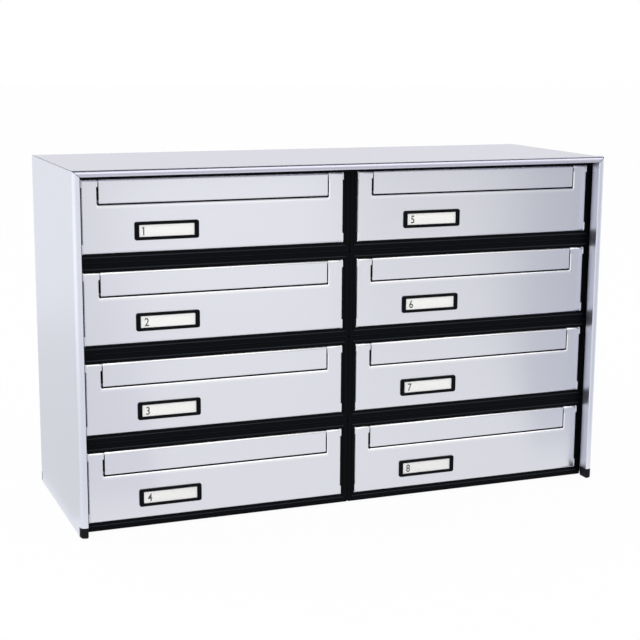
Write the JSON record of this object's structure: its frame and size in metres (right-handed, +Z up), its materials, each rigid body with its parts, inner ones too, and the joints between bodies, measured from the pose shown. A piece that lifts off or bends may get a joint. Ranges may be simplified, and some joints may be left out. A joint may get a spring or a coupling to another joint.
{
  "type": "mailbox unit",
  "caption": "Wall or stand mailbox block with moulded letter boxes, front letter flaps, name holders and locked rear doors in an aluminium casing.",
  "frame": {"origin": "bottom centre of the block, on the plane of its feet", "axes": "+X to the right seen from the front, +Y from the front towards the rear, +Z up"},
  "size_m": [0.644, 0.232, 0.4012],
  "materials": {
    "aluminium_case": "satin anodised",
    "aluminium_front": "satin anodised",
    "black_plastic": "moulded, fine texture",
    "zinc_steel": "zinc plated",
    "nickel_plate": "nickel plated",
    "clear_plastic": "clear",
    "card": "uncoated"
  },
  "bodies": {
    "casing": {"box_shell_1": "black_plastic", "box_shell_2": "black_plastic", "box_shell_3": "black_plastic", "box_shell_4": "black_plastic", "box_shell_5": "black_plastic", "box_shell_6": "black_plastic", "box_shell_7": "black_plastic", "box_shell_8": "black_plastic", "front_panel_1": "aluminium_front", "front_panel_2": "aluminium_front", "front_panel_3": "aluminium_front", "front_panel_4": "aluminium_front", "front_panel_5": "aluminium_front", "front_panel_6": "aluminium_front", "front_panel_7": "aluminium_front", "front_panel_8": "aluminium_front", "side_panel_left": "aluminium_case", "side_panel_right": "aluminium_case", "top_panel": "aluminium_case", "end_caps": "black_plastic", "corner_keys": "zinc_steel", "case_screws": "zinc_steel", "name_holders": "black_plastic", "name_windows": "clear_plastic", "name_cards": "card", "flap_pins": "zinc_steel", "rear_hinge_pins": "zinc_steel"},
    "letter_flap_1": {"flap_1": "aluminium_front"},
    "door_1": {"rear_door_1": "aluminium_front", "lock_barrel_1": "nickel_plate"},
    "cam_1": {"lock_cam_1": "zinc_steel"},
    "letter_flap_2": {"flap_2": "aluminium_front"},
    "door_2": {"rear_door_2": "aluminium_front", "lock_barrel_2": "nickel_plate"},
    "cam_2": {"lock_cam_2": "zinc_steel"},
    "letter_flap_3": {"flap_3": "aluminium_front"},
    "door_3": {"rear_door_3": "aluminium_front", "lock_barrel_3": "nickel_plate"},
    "cam_3": {"lock_cam_3": "zinc_steel"},
    "letter_flap_4": {"flap_4": "aluminium_front"},
    "door_4": {"rear_door_4": "aluminium_front", "lock_barrel_4": "nickel_plate"},
    "cam_4": {"lock_cam_4": "zinc_steel"},
    "letter_flap_5": {"flap_5": "aluminium_front"},
    "door_5": {"rear_door_5": "aluminium_front", "lock_barrel_5": "nickel_plate"},
    "cam_5": {"lock_cam_5": "zinc_steel"},
    "letter_flap_6": {"flap_6": "aluminium_front"},
    "door_6": {"rear_door_6": "aluminium_front", "lock_barrel_6": "nickel_plate"},
    "cam_6": {"lock_cam_6": "zinc_steel"},
    "letter_flap_7": {"flap_7": "aluminium_front"},
    "door_7": {"rear_door_7": "aluminium_front", "lock_barrel_7": "nickel_plate"},
    "cam_7": {"lock_cam_7": "zinc_steel"},
    "letter_flap_8": {"flap_8": "aluminium_front"},
    "door_8": {"rear_door_8": "aluminium_front", "lock_barrel_8": "nickel_plate"},
    "cam_8": {"lock_cam_8": "zinc_steel"}
  },
  "joints": [
    {"name": "flap_1_hinge", "type": "hinge", "parent": "casing", "child": "letter_flap_1", "pos_m": [-0.15885, -0.09302, 0.38722], "axis": [1, 0, 0], "range_deg": [0, 75]},
    {"name": "rear_door_1_hinge", "type": "hinge", "parent": "casing", "child": "door_1", "pos_m": [-0.15885, 0.09302, 0.38722], "axis": [1, 0, 0], "range_deg": [0, 90]},
    {"name": "lock_1_turn", "type": "hinge", "parent": "door_1", "child": "cam_1", "pos_m": [-0.15885, 0.0905, 0.3238], "axis": [0, 1, 0], "range_deg": [0, 90]},
    {"name": "flap_2_hinge", "type": "hinge", "parent": "casing", "child": "letter_flap_2", "pos_m": [-0.15885, -0.09302, 0.28742], "axis": [1, 0, 0], "range_deg": [0, 75]},
    {"name": "rear_door_2_hinge", "type": "hinge", "parent": "casing", "child": "door_2", "pos_m": [-0.15885, 0.09302, 0.28742], "axis": [1, 0, 0], "range_deg": [0, 90]},
    {"name": "lock_2_turn", "type": "hinge", "parent": "door_2", "child": "cam_2", "pos_m": [-0.15885, 0.0905, 0.224], "axis": [0, 1, 0], "range_deg": [0, 90]},
    {"name": "flap_3_hinge", "type": "hinge", "parent": "casing", "child": "letter_flap_3", "pos_m": [-0.15885, -0.09302, 0.18762], "axis": [1, 0, 0], "range_deg": [0, 75]},
    {"name": "rear_door_3_hinge", "type": "hinge", "parent": "casing", "child": "door_3", "pos_m": [-0.15885, 0.09302, 0.18762], "axis": [1, 0, 0], "range_deg": [0, 90]},
    {"name": "lock_3_turn", "type": "hinge", "parent": "door_3", "child": "cam_3", "pos_m": [-0.15885, 0.0905, 0.1242], "axis": [0, 1, 0], "range_deg": [0, 90]},
    {"name": "flap_4_hinge", "type": "hinge", "parent": "casing", "child": "letter_flap_4", "pos_m": [-0.15885, -0.09302, 0.08782], "axis": [1, 0, 0], "range_deg": [0, 75]},
    {"name": "rear_door_4_hinge", "type": "hinge", "parent": "casing", "child": "door_4", "pos_m": [-0.15885, 0.09302, 0.08782], "axis": [1, 0, 0], "range_deg": [0, 90]},
    {"name": "lock_4_turn", "type": "hinge", "parent": "door_4", "child": "cam_4", "pos_m": [-0.15885, 0.0905, 0.0244], "axis": [0, 1, 0], "range_deg": [0, 90]},
    {"name": "flap_5_hinge", "type": "hinge", "parent": "casing", "child": "letter_flap_5", "pos_m": [0.15885, -0.09302, 0.38722], "axis": [1, 0, 0], "range_deg": [0, 75]},
    {"name": "rear_door_5_hinge", "type": "hinge", "parent": "casing", "child": "door_5", "pos_m": [0.15885, 0.09302, 0.38722], "axis": [1, 0, 0], "range_deg": [0, 90]},
    {"name": "lock_5_turn", "type": "hinge", "parent": "door_5", "child": "cam_5", "pos_m": [0.15885, 0.0905, 0.3238], "axis": [0, 1, 0], "range_deg": [0, 90]},
    {"name": "flap_6_hinge", "type": "hinge", "parent": "casing", "child": "letter_flap_6", "pos_m": [0.15885, -0.09302, 0.28742], "axis": [1, 0, 0], "range_deg": [0, 75]},
    {"name": "rear_door_6_hinge", "type": "hinge", "parent": "casing", "child": "door_6", "pos_m": [0.15885, 0.09302, 0.28742], "axis": [1, 0, 0], "range_deg": [0, 90]},
    {"name": "lock_6_turn", "type": "hinge", "parent": "door_6", "child": "cam_6", "pos_m": [0.15885, 0.0905, 0.224], "axis": [0, 1, 0], "range_deg": [0, 90]},
    {"name": "flap_7_hinge", "type": "hinge", "parent": "casing", "child": "letter_flap_7", "pos_m": [0.15885, -0.09302, 0.18762], "axis": [1, 0, 0], "range_deg": [0, 75]},
    {"name": "rear_door_7_hinge", "type": "hinge", "parent": "casing", "child": "door_7", "pos_m": [0.15885, 0.09302, 0.18762], "axis": [1, 0, 0], "range_deg": [0, 90]},
    {"name": "lock_7_turn", "type": "hinge", "parent": "door_7", "child": "cam_7", "pos_m": [0.15885, 0.0905, 0.1242], "axis": [0, 1, 0], "range_deg": [0, 90]},
    {"name": "flap_8_hinge", "type": "hinge", "parent": "casing", "child": "letter_flap_8", "pos_m": [0.15885, -0.09302, 0.08782], "axis": [1, 0, 0], "range_deg": [0, 75]},
    {"name": "rear_door_8_hinge", "type": "hinge", "parent": "casing", "child": "door_8", "pos_m": [0.15885, 0.09302, 0.08782], "axis": [1, 0, 0], "range_deg": [0, 90]},
    {"name": "lock_8_turn", "type": "hinge", "parent": "door_8", "child": "cam_8", "pos_m": [0.15885, 0.0905, 0.0244], "axis": [0, 1, 0], "range_deg": [0, 90]}
  ]
}
